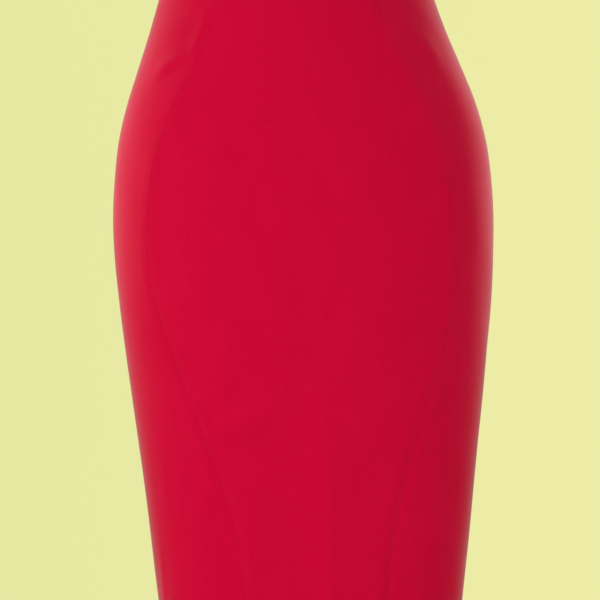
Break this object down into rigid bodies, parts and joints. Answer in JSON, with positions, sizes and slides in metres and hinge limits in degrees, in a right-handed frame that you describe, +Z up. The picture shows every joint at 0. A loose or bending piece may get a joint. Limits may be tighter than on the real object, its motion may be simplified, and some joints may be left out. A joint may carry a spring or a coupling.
{
  "type": "pencil skirt",
  "caption": "Knee-length pencil skirt in its worn shape: fitted hips, curved front seams, waistband, and a zip and slit at the back.",
  "frame": {"origin": "centre of the waist, halfway up the waistband, where the wearer holds the skirt up", "axes": "+Z up, the front faces -Y, +X to the wearer's left"},
  "size_m": [0.3475, 0.2321, 0.64],
  "materials": {
    "skirt_cloth": "matte crepe with a soft sheen at grazing angles",
    "zip_tape": "matte woven tape",
    "zip_metal": "enamelled zinc, satin gloss"
  },
  "bodies": {
    "skirt": {"waistband": "skirt_cloth", "front_panel": "skirt_cloth", "side_panel_left": "skirt_cloth", "side_panel_right": "skirt_cloth", "back_panel_left": "skirt_cloth", "back_panel_right": "skirt_cloth", "zip_tape_left": "zip_tape", "zip_tape_right": "zip_tape", "zip_slider": "zip_metal"},
    "pull": {"zip_pull": "zip_metal"}
  },
  "joints": [
    {"name": "zip_pull_hinge", "type": "hinge", "parent": "skirt", "child": "pull", "pos_m": [-0.00041, 0.09216, 0.0125], "axis": [1, 0, 0], "range_deg": [0, 165]}
  ]
}
